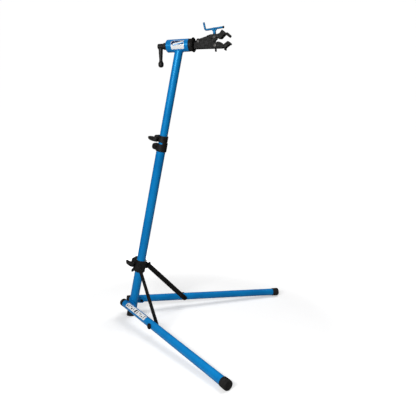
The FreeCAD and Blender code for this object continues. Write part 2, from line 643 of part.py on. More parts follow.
def brace(side_name, side):
    frame = leg_frame(side)
    foot_up, top_up = leg_height("Dims.brace_reach"), f"{brace_top_height()} + Dims.leg_collar_mid"
    inside = "Dims.brace_inside"
    run = num("Dims.brace_top_reach - Dims.brace_reach")
    climb = num(f"{top_up} - ({foot_up})")
    strap_axis = Vector(run, 0, climb).normalize()
    outward = Vector(0, side, 0)
    turn = Rotation(strap_axis, Vector(), outward, "ZXY")
    spot = Vector(num("Dims.brace_reach"), side * num(inside), num(foot_up))
    body = new_body(side_name + "_brace")
    strap = new_sketch(body)
    half = "Dims.brace_width / 2"
    back, front = f"-{half}", f"Dims.brace_span + {half}"
    end = f"{half} - 0.1"
    outline(strap, [(back, f"-{half}", end), (front, f"-{half}", end), (front, half, end), (back, half, end)])
    for spot_x in ("0", "Dims.brace_span"):
        circle(strap, spot_x, "0", "Dims.brace_bolt_radius + 0.05")
    pad(body, strap, "Dims.brace_plate")
    soften(body, 0.8, lambda edge: edge.BoundBox.ZLength < 1e-3 and edge.Length > 30)
    for level, away in (("Dims.brace_plate", False), ("0", True)):
        channel = new_sketch(body, shift=("0", "0", level))
        low, high, end = "-Dims.channel_half", "Dims.channel_half", "Dims.channel_half - 0.5"
        near, far = "18", "Dims.brace_span - 18"
        outline(channel, [(near, low, end), (far, low, end), (far, high, end), (near, high, end)])
        pocket(body, channel, "Dims.channel_depth", back=away)
    body.Placement = frame.multiply(Placement(spot, turn))
    leg_outer = "Dims.leg_offset + Dims.leg_od / 2"
    tip = f"{inside} - 5 - ({leg_outer})"
    turned(side_name + "_brace_bolt", [
        ("0", "Dims.brace_cap"), ("Dims.brace_cap_radius", "Dims.brace_cap", "4"),
        ("Dims.brace_cap_radius", "0.3"), ("Dims.brace_bolt_radius", "0.3"), ("Dims.brace_bolt_radius", tip),
        ("0", tip),
    ], aimed(frame, ("Dims.brace_reach", f"{side} * ({leg_outer})", foot_up), outward, Vector(0, 0, 1)))
    nut = new_body(side_name + "_brace_nut")
    item = new_sketch(nut)
    hexagon(item, NUT_HALF)
    circle(item, "0", "0", "Dims.brace_bolt_radius + Dims.press")
    pad(nut, item, "4.5")
    nut.Placement = aimed(frame, ("Dims.brace_reach", f"{side} * ({inside} - 0.05)", foot_up),
                          Vector(0, -side, 0), Vector(0, 0, 1))
    seat, top = "Dims.brace_plate + Dims.press", "Dims.brace_plate + 0.9"
    shank = "Dims.brace_bolt_radius"
    turned(side_name + "_brace_rivet", [
        ("0", "0"), (shank, "0"), (shank, seat), ("8", seat), ("7", top), ("0", top),
    ], aimed(frame, ("Dims.brace_top_reach", f"{side} * {inside}", top_up), outward, Vector(0, 0, 1)))


# ---------------------------------------------------------------- clamp

def clamp_spindle():
    """Shaft through the head tube, with a stud for the locking lever behind and a stub for the jaw ahead."""
    stud, shaft, stub = "Dims.stud_radius", "Dims.spindle_radius", "Dims.stub_radius"
    rear, shoulder, front = "-Dims.insert_end", "-Dims.head_back - 3.1", "Dims.flange_end - 0.9"
    turned("clamp_spindle", [
        ("0", rear), (stud, rear, "1"), (stud, shoulder), (shaft, shoulder, "1"), (shaft, front),
        (stub, front), (stub, "Dims.stub_end"), ("0", "Dims.stub_end"),
    ], aimed(HEAD, ("0", "0", "0"), Vector(1, 0, 0)))


def clamp_flange():
    bore, back, front = "Dims.spindle_radius + Dims.press", "Dims.flange_start", "Dims.flange_end"
    body = turned("clamp_flange", [
        (bore, back), ("26", back), ("32.5", f"{back} + 2", "1"), ("32.5", f"{front} - 3.3", "1"),
        ("27", f"{front} - 0.1"), (bore, f"{front} - 0.1"),
    ], aimed(HEAD, ("0", "0", "0"), Vector(1, 0, 0)))
    notch = new_sketch(body, shift=("0", "0", back))
    circle(notch, "35.5", "0", "4.5")
    polar(body, pocket(body, notch, THROUGH, back=True), 12)


# Where each pad sits on its jaw, from back to front.
LOWER_SEAT = [("184", "1"), ("203", "-4"), ("213", "-15"), ("233", "-1.5"), ("242", "-9")]
UPPER_SEAT = [("188", "24"), ("203", "25.5"), ("219", "41"), ("231", "36.5"), ("243.5", "27.5")]


def lower_jaw():
    """Fixed jaw: an open channel that holds the upper jaw's tongue between its cheeks."""
    body = new_body("lower_jaw")
    back = "(Dims.flange_end - Dims.jaw_datum)"
    side_plate(body, [
        (back, "-19", "2"), ("165", "-20.5", "30"), ("207", "-21.5", "1"), ("217", "-18.5", "2"),
        ("219", "-19"), ("219.3", "-31", "1.5"), ("224.2", "-31", "1.5"), ("224.5", "-21.5", "1")
    ] + LOWER_SEAT[::-1] + [
        ("179", "4", "6"), ("155", "12.5", "20"), ("106", "23", "12"), ("92", "25.5", "7"),
        ("86", "14", "4"), ("84", "8.5", "2"), (back, "8.5"),
    ], "Dims.jaw_width")
    channel = new_sketch(body, "XZ_Plane")
    outline(channel, [("83.5", "-6", "3"), ("150", "-12"), ("186", "-12", "3"), ("186", "40"),
                      ("83.5", "40")])
    pocket(body, channel, "Dims.cheek_gap", middle=True)
    slot = new_sketch(body, shift=("0", "0", "-50"))
    rectangle(slot, "Dims.nut_x - 9", "-6.5", "Dims.nut_x + 9", "6.5")
    pocket(body, slot, THROUGH, back=True)
    stub = new_sketch(body, "YZ_Plane", shift=("0", "0", f"{back} - 1"))
    circle(stub, "0", "0", "Dims.stub_radius + Dims.press")
    pocket(body, stub, "Dims.stub_end + 1.1 - Dims.flange_end", back=True)
    cross_hole(body, "Dims.nut_x", "Dims.nut_z", "Dims.trunnion_radius + Dims.slip")
    cross_hole(body, "Dims.pivot_x", "Dims.pivot_z", "Dims.jaw_pin_radius + Dims.press")
    body.Placement = JAWS


def upper_jaw():
    """Swinging jaw: a tongue at the hinge that widens to carry the saddle and the pad."""
    body = new_body("upper_jaw")
    knuckle = new_sketch(body, "XZ_Plane")
    circle(knuckle, "Dims.pivot_x", "Dims.pivot_z", "12")
    pad(body, knuckle, "Dims.tongue_width", middle=True)
    side_plate(body, [
        ("98", "2"), ("140", "6", "10"), ("172", "8.5", "3"), ("184", "18.5"), ("186", "36"),
        ("154.5", "38.5"), ("98", "23.5"),
    ], "Dims.tongue_width")
    side_plate(body, [("157", "21", "3")] + UPPER_SEAT + [
        ("249", "29", "1.5"), ("234", "43", "2.5"), ("226", "41.5", "4"), ("208.5", "56.5", "1.2"),
        ("197", "42", "5"), ("186", "39", "8"), ("154.5", "39"), ("132", "32.5", "1.5"), ("146", "30", "6"),
    ], "Dims.jaw_width")
    slot = new_sketch(body, shift=("0", "0", "-50"))
    rectangle(slot, "Dims.saddle_x - 10", "-6.9", "Dims.saddle_x + 10", "6.9")
    pocket(body, slot, THROUGH, back=True)
    cross_hole(body, "Dims.saddle_x", "Dims.saddle_z", "Dims.trunnion_radius + Dims.slip")
    cross_hole(body, "Dims.pivot_x", "Dims.pivot_z", "Dims.jaw_pin_radius + Dims.slip")
    body.Placement = JAWS


def jaw_pivot_pin():
    half, near, far = "Dims.jaw_pin_radius", "-Dims.jaw_width / 2", "Dims.jaw_width / 2"
    turned("jaw_pivot_pin", [
        ("0", f"{near} - 3"), ("6.5", f"{near} - 3", "1"), ("6.5", f"{near} - Dims.press"),
        (half, f"{near} - Dims.press"), (half, f"{far} + Dims.press"), ("6", f"{far} + Dims.press"),
        ("6", f"{far} + 1.8", "0.6"), ("0", f"{far} + 1.8"),
    ], aimed(JAWS, ("Dims.pivot_x", "0", "Dims.pivot_z"), Vector(0, 1, 0), Vector(0, 0, 1)))


def jaw_pads():
    """Rubber covers with a V face towards the bike tube."""
    lower = new_body("lower_pad")
    side_plate(lower, LOWER_SEAT + [
        ("246.5", "-7.5", "1"), ("249.8", "-3.5", "2"), ("237", "7", "4"), ("214", "-8.5", "2"),
        ("204", "3", "4"), ("193", "6.5", "4"), ("183.5", "5.5", "1"),
    ], "Dims.pad_width")
    lower.Placement = JAWS
    upper = new_body("upper_pad")
    side_plate(upper, UPPER_SEAT[::-1] + [
        ("188", "20.2"), ("203.5", "18.5", "4"), ("212", "27", "3"), ("221.5", "35.5", "2"),
        ("230", "31.5", "3"), ("240", "22.5", "1.5"), ("247.5", "27.3", "1"),
    ], "Dims.pad_width")
    upper.Placement = JAWS


def screw_frame():
    """Frame on the saddle's centre whose Z axis runs up the clamp screw."""
    run = num("Dims.saddle_x - Dims.nut_x")
    climb = num("Dims.saddle_z - Dims.nut_z")
    return aimed(JAWS, ("Dims.saddle_x", "0", "Dims.saddle_z"), Vector(run, 0, climb))


def trunnion(name, frame, bore):
    """Cross pin drilled for the clamp screw."""
    body = new_body(name)
    item = new_sketch(body, "XZ_Plane")
    circle(item, "0", "0", "Dims.trunnion_radius")
    pad(body, item, "Dims.jaw_width - 1", middle=True)
    hole = new_sketch(body, shift=("0", "0", "-20"))
    circle(hole, "0", "0", bore)
    pocket(body, hole, "40", back=True)
    body.Placement = frame
    return body


def clamp_screw_set():
    """Saddle, barrel nut, clamp screw and its crank, in line along the screw."""
    frame = screw_frame()
    span = "sqrt((Dims.saddle_x - Dims.nut_x) ^ 2 + (Dims.saddle_z - Dims.nut_z) ^ 2)"
    saddle = trunnion("saddle", frame, "Dims.screw_radius + Dims.slip")
    seat = new_sketch(saddle, shift=("0", "0", "5"))
    circle(seat, "0", "0", "6.8")
    pocket(saddle, seat, "10", back=True)
    trunnion("barrel_nut", shifted(frame, z=f"-({span})"), "Dims.screw_radius + 0.55")
    tail, shank = f"-({span}) - Dims.screw_tail", "Dims.screw_radius"
    turned("clamp_screw", [
        ("0", tail), (shank, tail, "1.5"), (shank, "5.05"), ("6.5", "5.05"), ("6.5", "14"), (shank, "14"),
        (shank, "24"), ("0", "24"),
    ], frame)
    crank_handle(frame)
    rim = "Dims.rod_radius + 0.8"
    turned("crank_tip", [("0", "0.02"), (rim, "0.02"), (rim, "5.5", "2"), ("0", "5.5")],
           aimed(frame, ("Dims.rod_end", "0", "Dims.rod_up"), Vector(1, 0, 0)))


def crank_handle(frame):
    """Bent rod across the top of a hub, with a web under it on both sides."""
    crank = new_body("crank_handle")
    hub = new_sketch(crank, "XZ_Plane")
    bore, top = "Dims.screw_radius + Dims.press", "Dims.rod_up + 4.5"
    outline(hub, [("0", "24.05"), (bore, "24.05"), (bore, "14.05"), ("7", "14.05", "1"),
                  ("7", "Dims.rod_up", "2"), ("5", top, "2"), ("0", top)])
    revolve(crank, hub)
    web = new_sketch(crank, "XZ_Plane")
    outline(web, [("-6", "25.5"), ("6", "25.5"), ("16", "Dims.rod_up"), ("-16", "Dims.rod_up")])
    pad(crank, web, "1.4 * Dims.rod_radius", middle=True)
    path = new_sketch(crank, "XZ_Plane")
    outline(path, [("Dims.rod_end", "Dims.rod_up"), ("-42", "Dims.rod_up", "9"),
                   ("-46.6", "Dims.rod_up + 33")], closed=False)
    section = new_sketch(crank, "YZ_Plane", shift=("0", "0", "Dims.rod_end"))
    circle(section, "0", "Dims.rod_up", "Dims.rod_radius")
    rod = crank.newObject("PartDesign::AdditivePipe", "crank_handle_rod")
    rod.Profile = section
    rod.Spine = path
    settle(crank, rod, 1)
    crank.Placement = frame


def lock_lever_set():
    """Lever on the spindle's rear stud that locks the clamp's turning, lifted against a spring to reset."""
    rear = aimed(HEAD, ("0", "0", "0"), Vector(-1, 0, 0))
    hole, washer, front, back = "Dims.stud_radius + 0.1", "15", "63.7", "65.7"
    turned("lock_washer", [(hole, front), (washer, front), (washer, back), (hole, back)], rear)
    hole, sleeve, front, back = "Dims.stud_radius + Dims.slip", "Dims.insert_radius", "66", "Dims.insert_end"
    turned("lock_insert", [(hole, front), (sleeve, front), (sleeve, back), (hole, back)], rear)
    seat = "Dims.insert_end + 0.2"
    turned("lock_screw", [
        ("0", seat), ("2.5", seat), ("2.5", "104.5"), ("5", "104.5"), ("5", "108", "1"), ("0", "108"),
    ], rear)
    lock_spring(rear)
    body = new_body("lock_lever")
    hub = new_sketch(body, "YZ_Plane", shift=("0", "0", "-Dims.lock_back"))
    circle(hub, "0", "0", "Dims.lock_end_radius")
    pad(body, hub, "Dims.lock_back - Dims.lock_front")
    soften(body, 3, is_circle("Dims.lock_end_radius", "-Dims.lock_back", "x"))
    collar = new_sketch(body, "YZ_Plane", shift=("0", "0", "-Dims.lock_shoulder"))
    circle(collar, "0", "0", "Dims.lock_hub_radius")
    pad(body, collar, "Dims.lock_shoulder - Dims.lock_front")
    soften(body, 2, is_circle("Dims.lock_hub_radius", "-Dims.lock_shoulder", "x"))
    arm = new_sketch(body, "XZ_Plane", shift=("-Dims.lock_arm_back", "0", "0"))
    drop = "-Dims.lock_arm_drop"
    outline(arm, [("0", "0"), ("10.5", "0"), ("9.6", "-30", "80"), ("7.6", "-58", "40"), ("8.6", "-68", "12"),
                  ("13", f"{drop} + 20", "9"), ("12", drop, "10"), ("0", drop)])
    revolve(body, arm)
    for back, radius, depth in (("94", "Dims.insert_radius + Dims.slip", "40"), ("100", "2.8", "10"),
                                ("112", "5.6", "15.5")):
        hole = new_sketch(body, "YZ_Plane", shift=("0", "0", f"-{back}"))
        circle(hole, "0", "0", radius)
        pocket(body, hole, depth, back=True)
    body.Placement = HEAD


def lock_spring(rear):
    """Coil spring round the locking screw, drawn at its compressed length."""
    spring = doc.addObject("Part::Feature", "lock_spring")
    spring.Label = "lock_spring"
    pitch, height, coil_radius, wire_radius = 1.1, 2.6, 4, 0.45
    coil = Part.makeHelix(pitch, height, coil_radius)
    start = Part.Wire(Part.makeCircle(wire_radius, Vector(coil_radius, 0, 0), Vector(0, 1, 0)))
    spring.Shape = Part.Wire(coil).makePipeShell([start], True, True)
    spring.Placement = shifted(rear, z="101.4")
    parts["lock_spring"] = spring


# ---------------------------------------------------------------- assembly

def build():
    lower_tube()
    mast_foot()
    leg_bracket()
    top_sleeve()
    upper_tube()
    tube_glide()
    head_tube()
    head_bushings()
    height_collar()
    pinch_bolt()
    width = "Dims.lever_ear_width"
    height_frame = shifted(MAST, x="-Dims.skewer_back", z="Dims.collar_bottom + Dims.lever_height")
    skewer_set("height", height_frame, width)
    lever_set("height", height_frame, width)
    leg_collar()
    collar_liner()
    leg_lever_frame = shifted(MAST, x="-Dims.leg_skewer_back", z="Dims.leg_collar_mid + Dims.leg_lever_up")
    skewer_set("leg", leg_lever_frame, "Dims.leg_ear_width")
    lever_set("leg", leg_lever_frame, "Dims.leg_ear_width")
    for side_name, side in SIDES.items():
        leg(side_name, side)
        brace(side_name, side)
    ear_nuts()
    clamp_spindle()
    clamp_flange()
    lower_jaw()
    upper_jaw()
    jaw_pivot_pin()
    jaw_pads()
    clamp_screw_set()
    lock_lever_set()


def export():
    doc.recompute()
    for item in doc.Objects:
        if "Invalid" in item.State or "Error" in item.State:
            raise RuntimeError(f"{item.Name} is {item.State}")
    for name, item in parts.items():
        if item.Shape.isNull() or not item.Shape.isValid():
            raise RuntimeError(f"{name} has no valid shape")
    os.makedirs("parts", exist_ok=True)
    for name, item in parts.items():
        item.Shape.exportStep(f"parts/{name}.step")
        print(f"{name}: {item.Shape.Volume / 1000:.2f} cm3, {len(item.Shape.Solids)} solid")


build()
export()
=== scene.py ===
import json
import math

import bmesh
import bpy
from mathutils import Matrix, Vector


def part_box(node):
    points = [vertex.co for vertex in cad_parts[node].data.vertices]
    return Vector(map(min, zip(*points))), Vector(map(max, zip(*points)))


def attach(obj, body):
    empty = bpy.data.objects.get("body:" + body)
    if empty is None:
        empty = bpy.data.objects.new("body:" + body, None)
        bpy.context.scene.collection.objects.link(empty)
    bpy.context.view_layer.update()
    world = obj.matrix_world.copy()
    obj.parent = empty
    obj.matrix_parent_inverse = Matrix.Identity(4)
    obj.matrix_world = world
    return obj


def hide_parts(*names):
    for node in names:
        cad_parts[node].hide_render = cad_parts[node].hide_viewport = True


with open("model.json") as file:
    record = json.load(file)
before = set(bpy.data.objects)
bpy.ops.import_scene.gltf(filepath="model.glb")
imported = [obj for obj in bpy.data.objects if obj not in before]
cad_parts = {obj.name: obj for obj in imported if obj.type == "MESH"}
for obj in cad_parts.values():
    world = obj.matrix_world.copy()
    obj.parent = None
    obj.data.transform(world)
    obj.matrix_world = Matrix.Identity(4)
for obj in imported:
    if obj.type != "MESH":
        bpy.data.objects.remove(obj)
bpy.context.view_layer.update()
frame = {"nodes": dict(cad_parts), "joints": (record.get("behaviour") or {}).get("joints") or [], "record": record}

# Looks of a folding bike repair stand, around its CAD frame. Row frame, metres: +X forward, +Y left, +Z up.

MM = 0.001
LEFT = Vector((0, 1, 0))
UP = Vector((0, 0, 1))
FORWARD = Vector((1, 0, 0))
JOINTS = {joint["name"]: joint for joint in frame["joints"]}


def spot(joint):
    return Vector(JOINTS[joint]["pos_m"])


def axis(joint):
    return Vector(JOINTS[joint]["axis"]).normalized()


MAST_UP = axis("mast_height")
MAST_FORWARD = LEFT.cross(MAST_UP).normalized()
HEAD = spot("clamp_turn")


def leg_line(side):
    """A point on the leg's centre line, and the direction towards its foot."""
    across = axis(f"{side}_leg_fold")
    start = spot(f"{side}_leg_fold")
    run = spot(f"{side}_brace_swing") - start
    return start, (run - across * run.dot(across)).normalized()


def span(node, start, direction):
    """How far a CAD node reaches along a line, as (lowest, highest)."""
    reach = [(vertex.co - start).dot(direction) for vertex in frame["nodes"][node].data.vertices]
    return min(reach), max(reach)


def girth(node_name, start, direction):
    """A CAD node's largest distance from a line."""
    widest = 0.0
    for vertex in frame["nodes"][node_name].data.vertices:
        away = vertex.co - start
        widest = max(widest, (away - direction * away.dot(direction)).length)
    return widest


def facing(place, z_axis, x_hint=LEFT):
    """A matrix at a place whose Z axis runs along z_axis and whose X axis is near x_hint."""
    z_axis = z_axis.normalized()
    y_axis = z_axis.cross(x_hint).normalized()
    matrix = Matrix((y_axis.cross(z_axis), y_axis, z_axis)).transposed().to_4x4()
    matrix.translation = place
    return matrix


# ---------------------------------------------------------------- shader nodes

def new_material(name):
    material = bpy.data.materials.new(name)
    material.use_nodes = True
    tree = material.node_tree
    tree.nodes.clear()
    return material, tree


def node(tree, kind, settings=None, **inputs):
    """Adds a shader node; inputs are values or other nodes' outputs, by socket name."""
    item = tree.nodes.new("ShaderNode" + kind)
    for key, value in (settings or {}).items():
        setattr(item, key, value)
    for key, value in inputs.items():
        by_number = key[0] == "i" and key[1:].isdigit()
        socket = item.inputs[int(key[1:]) if by_number else key.replace("_", " ")]
        if isinstance(value, bpy.types.NodeSocket):
            tree.links.new(value, socket)
        else:
            socket.default_value = value
    return item


def maths(tree, operation, first, second=0.0):
    return node(tree, "Math", {"operation": operation}, i0=first, i1=second).outputs[0]


def colour_mix(tree, factor, first, second):
    item = tree.nodes.new("ShaderNodeMix")
    item.data_type = "RGBA"
    for place, value in ((0, factor), (6, first), (7, second)):
        if isinstance(value, bpy.types.NodeSocket):
            tree.links.new(value, item.inputs[place])
        elif place:
            item.inputs[place].default_value = (*value, 1)
        else:
            item.inputs[place].default_value = value
    return item.outputs[2]


def noise(tree, where, scale, detail, roughness=0.5, distortion=0.0):
    return node(tree, "TexNoise", Vector=where, Scale=scale, Detail=detail, Roughness=roughness,
                Distortion=distortion).outputs["Fac"]


def ramp(tree, value, low, high, to_low=0.0, to_high=1.0):
    """Maps a value smoothly from low..high to to_low..to_high."""
    item = node(tree, "MapRange", {"interpolation_type": "SMOOTHSTEP"}, Value=value)
    for key, number in (("From Min", low), ("From Max", high), ("To Min", to_low), ("To Max", to_high)):
        item.inputs[key].default_value = number
    return item.outputs[0]


def where_on(tree, stretch=(1, 1, 1), turn=(0, 0, 0)):
    """Object coordinates, turned and stretched."""
    item = node(tree, "Mapping", Vector=node(tree, "TexCoord").outputs["Object"])
    item.inputs["Rotation"].default_value = turn
    item.inputs["Scale"].default_value = stretch
    return item.outputs[0]


def edge_mask(tree, radius):
    """1 on sharp edges, 0 on open faces."""
    rounded = node(tree, "Bevel", {"samples": 4}, Radius=radius).outputs[0]
    flat = node(tree, "NewGeometry").outputs["Normal"]
    turn = node(tree, "VectorMath", {"operation": "DOT_PRODUCT"}, i0=rounded, i1=flat).outputs["Value"]
    return ramp(tree, turn, 0.995, 0.9)


def surface(tree, colour, roughness, bump_height, bump_depth, **extra):
    """The Principled shader behind every material, with a bump of a given depth in metres."""
    bump = node(tree, "Bump", Strength=1.0, Distance=bump_depth, Height=bump_height)
    shader = node(tree, "BsdfPrincipled", Base_Color=colour, Roughness=roughness, Normal=bump.outputs[0],
                  **extra)
    node(tree, "OutputMaterial", Surface=shader.outputs[0])


# ---------------------------------------------------------------- materials

def powder_coat(name, deep, bright, scuffed):
    """Glossy powder coat: orange peel, faint drift in tone, worn lighter along its edges."""
    material, tree = new_material(name)
    where = where_on(tree)
    drift = noise(tree, where, 9, 3)
    speck = noise(tree, where, 2600, 2, 0.7)
    tone = colour_mix(tree, ramp(tree, drift, 0.3, 0.7), deep, bright)
    tone = colour_mix(tree, ramp(tree, speck, 0.58, 0.8, 0, 0.25), tone, bright)
    worn = ramp(tree, noise(tree, where, 260, 4, 0.65), 0.52, 0.68)
    chips = maths(tree, "MULTIPLY", edge_mask(tree, 0.9 * MM), worn)
    tone = colour_mix(tree, maths(tree, "MULTIPLY", chips, 0.55), tone, scuffed)
    rough = ramp(tree, noise(tree, where, 60, 4, 0.6), 0.2, 0.8, 0.26, 0.38)
    peel = maths(tree, "ADD", noise(tree, where, 620, 2), maths(tree, "MULTIPLY", speck, 0.25))
    surface(tree, tone, rough, peel, 0.06 * MM, Specular_IOR_Level=0.8, Specular_Tint=(0.13, 0.66, 1, 1))
    return material


def moulded_plastic(name, dark, light, rough_low, rough_high, grain):
    """Black moulded plastic: fine spark-eroded grain, rubbed paler on its corners."""
    material, tree = new_material(name)
    where = where_on(tree)
    cells = node(tree, "TexVoronoi", Vector=where, Scale=grain).outputs["Distance"]
    fine = noise(tree, where, grain * 1.9, 3, 0.6)
    drift = noise(tree, where, 45, 4, 0.6)
    tone = colour_mix(tree, ramp(tree, drift, 0.3, 0.75), dark, light)
    rubbed = maths(tree, "MULTIPLY", edge_mask(tree, 0.8 * MM), ramp(tree, drift, 0.35, 0.6))
    tone = colour_mix(tree, maths(tree, "MULTIPLY", rubbed, 0.5), tone, [4.0 * part for part in light])
    rough = ramp(tree, drift, 0.25, 0.75, rough_low, rough_high)
    height = maths(tree, "ADD", maths(tree, "MULTIPLY", cells, 0.6), maths(tree, "MULTIPLY", fine, 0.5))
    surface(tree, tone, rough, height, 0.08 * MM, Specular_IOR_Level=0.2)
    return material


def rubber(name, dark, light, dust, grain):
    """Matt rubber: pitted, with pale dust caught in its lows."""
    material, tree = new_material(name)
    where = where_on(tree)
    pits = noise(tree, where, grain, 4, 0.65)
    cloud = noise(tree, where, 55, 5, 0.6)
    tone = colour_mix(tree, ramp(tree, cloud, 0.3, 0.7), dark, light)
    settled = maths(tree, "MULTIPLY", ramp(tree, cloud, 0.5, 0.8), ramp(tree, pits, 0.55, 0.35))
    tone = colour_mix(tree, maths(tree, "MULTIPLY", settled, 0.35), tone, dust)
    rough = ramp(tree, pits, 0.3, 0.7, 0.62, 0.88)
    surface(tree, tone, rough, pits, 0.14 * MM, Specular_IOR_Level=0.2)
    return material


def coated_casting(name, dark, light, bare):
    """Black coat over rough metal: pebbled, semi-gloss, bare metal showing at knocked edges."""
    material, tree = new_material(name)
    where = where_on(tree)
    pebble = noise(tree, where, 900, 3, 0.55)
    sag = noise(tree, where, 170, 2)
    drift = noise(tree, where, 30, 4, 0.6)
    tone = colour_mix(tree, ramp(tree, drift, 0.3, 0.7), dark, light)
    worn = ramp(tree, noise(tree, where, 320, 5, 0.7), 0.5, 0.66)
    knocked = maths(tree, "MULTIPLY", edge_mask(tree, 0.7 * MM), worn)
    tone = colour_mix(tree, maths(tree, "MULTIPLY", knocked, 0.6), tone, bare)
    rough = ramp(tree, sag, 0.3, 0.7, 0.38, 0.56)
    height = maths(tree, "ADD", pebble, maths(tree, "MULTIPLY", sag, 0.8))
    surface(tree, tone, rough, height, 0.1 * MM, Metallic=maths(tree, "MULTIPLY", knocked, 0.6),
            Specular_IOR_Level=0.1)
    return material


def plated_steel(name, pale, warm, spots, stretch):
    """Plated or blackened steel: drawn lines, faint warm bloom, small dull spots."""
    material, tree = new_material(name)
    where = where_on(tree)
    lines = noise(tree, where_on(tree, stretch, (0, 0.2, 0)), 90, 5, 0.7)
    bloom = noise(tree, where, 120, 3, 0.6)
    dull = ramp(tree, noise(tree, where, 420, 4, 0.7), 0.58, 0.72)
    tone = colour_mix(tree, ramp(tree, bloom, 0.35, 0.7), pale, warm)
    tone = colour_mix(tree, maths(tree, "MULTIPLY", dull, 0.4), tone, spots)
    rough = maths(tree, "ADD", ramp(tree, lines, 0.25, 0.75, 0.2, 0.38), maths(tree, "MULTIPLY", dull, 0.25))
    surface(tree, tone, rough, lines, 0.03 * MM, Metallic=1.0)
    return material


def nylon(name):
    """Natural nylon: milky, faintly flowed, matt."""
    material, tree = new_material(name)
    where = where_on(tree)
    flow = noise(tree, where_on(tree, (1, 1, 0.2)), 120, 4, 0.6, 1.5)
    tone = colour_mix(tree, ramp(tree, flow, 0.3, 0.7), (0.74, 0.72, 0.66), (0.82, 0.81, 0.77))
    surface(tree, tone, ramp(tree, flow, 0.2, 0.8, 0.42, 0.58), noise(tree, where, 1500, 2), 0.05 * MM,
            Subsurface_Weight=0.15, Subsurface_Scale=2 * MM)
    return material


def floor_material():
    """Pale floor: the camera sees it nearly white, with soft shadows near the object and none far away."""
    material, tree = new_material("floor_white")
    where = where_on(tree)
    tone = colour_mix(tree, noise(tree, where, 1.6, 3), (0.8, 0.8, 0.805), (0.82, 0.82, 0.82))
    seen = node(tree, "LightPath").outputs["Is Camera Ray"]
    tone = colour_mix(tree, seen, (0.42, 0.42, 0.42), tone)
    away = node(tree, "VectorMath", {"operation": "DISTANCE"}, i0=where, i1=(0.32, -0.1, 0)).outputs["Value"]
    glow = maths(tree, "MULTIPLY", seen, ramp(tree, away, 0.7, 1.45, 0.355, 1.0))
    tone = colour_mix(tree, ramp(tree, away, 1.0, 2.0), tone, (0.05, 0.05, 0.05))
    rough = ramp(tree, noise(tree, where, 14, 3), 0.2, 0.8, 0.55, 0.7)
    surface(tree, tone, rough, noise(tree, where, 90, 3), 0.1 * MM, Specular_IOR_Level=0.1,
            Emission_Color=(1, 1, 1, 1), Emission_Strength=glow)
    return material


def pill(tree, across, up, middle, half, round_off, slant, climb):
    """1 inside a rounded bar drawn on the label, 0 outside it; it may lean sideways or climb to the right."""
    leaned = maths(tree, "SUBTRACT", across, maths(tree, "MULTIPLY", up, slant))
    up = maths(tree, "SUBTRACT", up, maths(tree, "MULTIPLY", across, climb))
    out_x = maths(tree, "MAXIMUM", maths(tree, "SUBTRACT", maths(tree, "ABSOLUTE", maths(
        tree, "SUBTRACT", leaned, middle[0])), half[0] - round_off), 0.0)
    out_y = maths(tree, "MAXIMUM", maths(tree, "SUBTRACT", maths(tree, "ABSOLUTE", maths(
        tree, "SUBTRACT", up, middle[1])), half[1] - round_off), 0.0)
    reach = maths(tree, "POWER", maths(tree, "ADD", maths(tree, "POWER", out_x, 2.0), maths(
        tree, "POWER", out_y, 2.0)), 0.5)
    return ramp(tree, reach, round_off + 0.1, round_off - 0.1)


def label_material(name, ground, bars):
    """Printed vinyl with plain coloured bars, each (colour, middle, half, rounding, slant, climb) in mm."""
    material, tree = new_material(name)
    drawn = node(tree, "Attribute", {"attribute_name": "label"}).outputs["Vector"]
    place = node(tree, "SeparateXYZ", Vector=drawn)
    across = maths(tree, "MULTIPLY", place.outputs[0], 1 / MM)
    up = maths(tree, "MULTIPLY", place.outputs[1], 1 / MM)
    where = where_on(tree)
    tone = colour_mix(tree, ramp(tree, noise(tree, where, 120, 3), 0.3, 0.7, 0, 0.5), ground,
                      [0.95 * part for part in ground])
    for colour, middle, half, round_off, slant, climb in bars:
        shape = pill(tree, across, up, middle, half, round_off, slant, climb)
        tone = colour_mix(tree, shape, tone, colour)
    rough = ramp(tree, noise(tree, where, 90, 3), 0.2, 0.8, 0.22, 0.34)
    surface(tree, tone, rough, noise(tree, where, 800, 2), 0.02 * MM, Coat_Weight=0.3, Coat_Roughness=0.1)
    return material


BLUE_DEEP, BLUE_BRIGHT = (0.003, 0.185, 0.52), (0.005, 0.24, 0.62)
HANDLE_DEEP, HANDLE_BRIGHT = (0.003, 0.1, 0.3), (0.004, 0.13, 0.36)
BLACK, SOFT_BLACK, DUST = (0.0095, 0.0088, 0.0083), (0.017, 0.0155, 0.0145), (0.09, 0.088, 0.085)
NAVY, INK, SKY = (0.004, 0.014, 0.07), (0.012, 0.012, 0.014), (0.1, 0.42, 0.85)
WHITE, GREY = (0.94, 0.945, 0.95), (0.4, 0.42, 0.45)

MATERIALS = {
    "blue_paint": powder_coat("blue_powder_coat", BLUE_DEEP, BLUE_BRIGHT, (0.16, 0.34, 0.6)),
    "blue_handle": powder_coat("blue_dipped_coat", HANDLE_DEEP, HANDLE_BRIGHT, (0.12, 0.3, 0.56)),
    "black_plastic": moulded_plastic("black_moulding", BLACK, SOFT_BLACK, 0.36, 0.54, 1500),
    "black_rubber": rubber("black_rubber", (0.01, 0.01, 0.01), (0.018, 0.017, 0.017), DUST, 800),
    "pad_rubber": rubber("pad_rubber", (0.018, 0.017, 0.016), (0.03, 0.028, 0.026), DUST, 1100),
    "black_metal": coated_casting("black_coated_metal", (0.006, 0.0055, 0.0052), (0.011, 0.01, 0.0094),
                                  (0.2, 0.19, 0.18)),
    "steel": plated_steel("zinc_plated_steel", (0.62, 0.63, 0.65), (0.6, 0.57, 0.5), (0.22, 0.21, 0.2),
                          (1, 1, 0.08)),
    "black_steel": plated_steel("black_oxide_steel", (0.016, 0.016, 0.0165), (0.018, 0.0165, 0.015),
                                (0.011, 0.0105, 0.01), (1, 1, 0.08)),
    "nylon": nylon("natural_nylon"),
}


